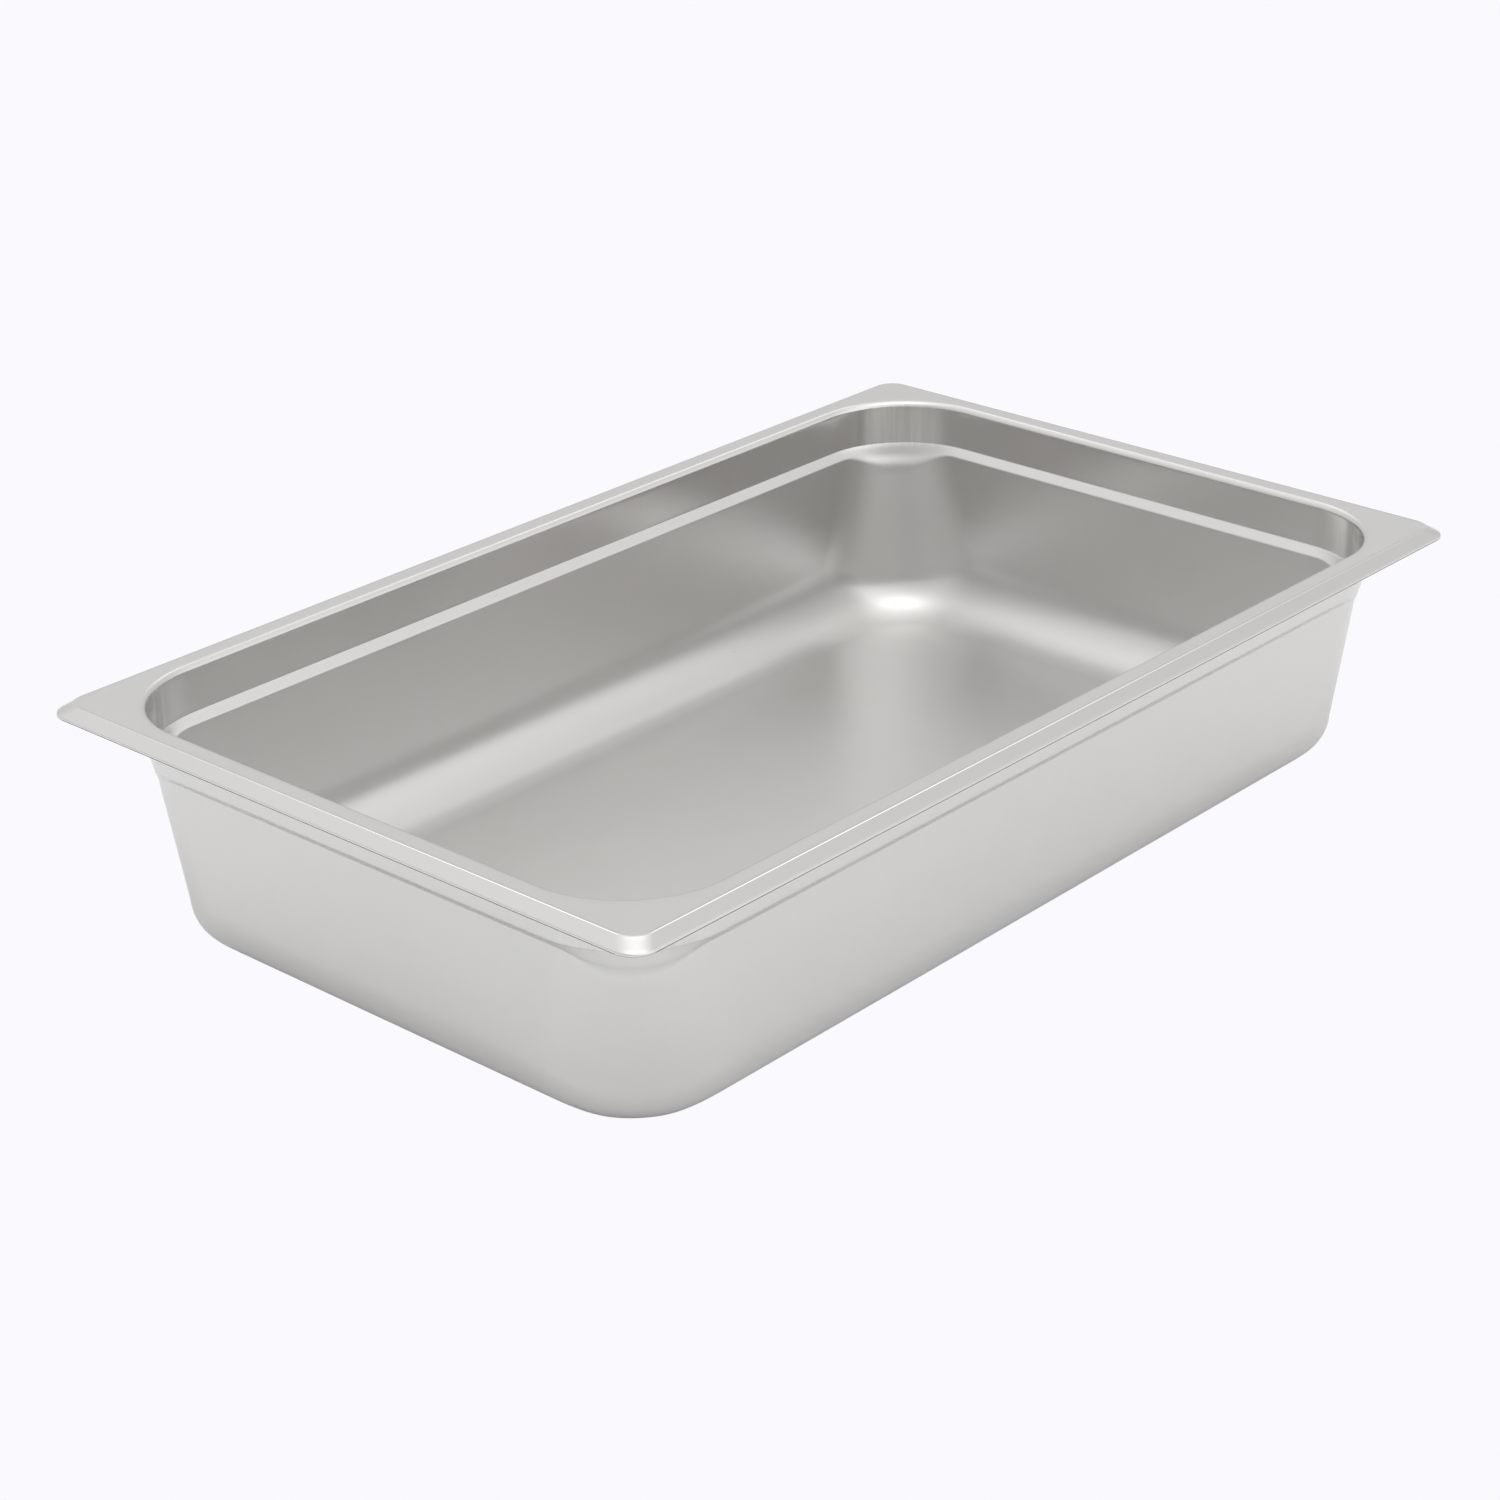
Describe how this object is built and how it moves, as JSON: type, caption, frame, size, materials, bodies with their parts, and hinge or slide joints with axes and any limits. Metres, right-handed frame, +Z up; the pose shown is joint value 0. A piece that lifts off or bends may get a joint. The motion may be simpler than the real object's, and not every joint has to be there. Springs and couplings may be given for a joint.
{
  "type": "food pan",
  "caption": "Rectangular stainless food pan with a turned-down flange lip, upright collar, stacking shoulder, rounded corners and a flat floor; drops into a deli case or steam table.",
  "frame": {"origin": "centre of the flat resting face under the floor", "axes": "+Z up out of the mouth, +X along the pan's length, +Y across its width"},
  "size_m": [0.527, 0.324, 0.105],
  "materials": {
    "steel": "satin, fine matte stainless"
  },
  "bodies": {
    "root": {"pan": "steel"}
  },
  "joints": []
}
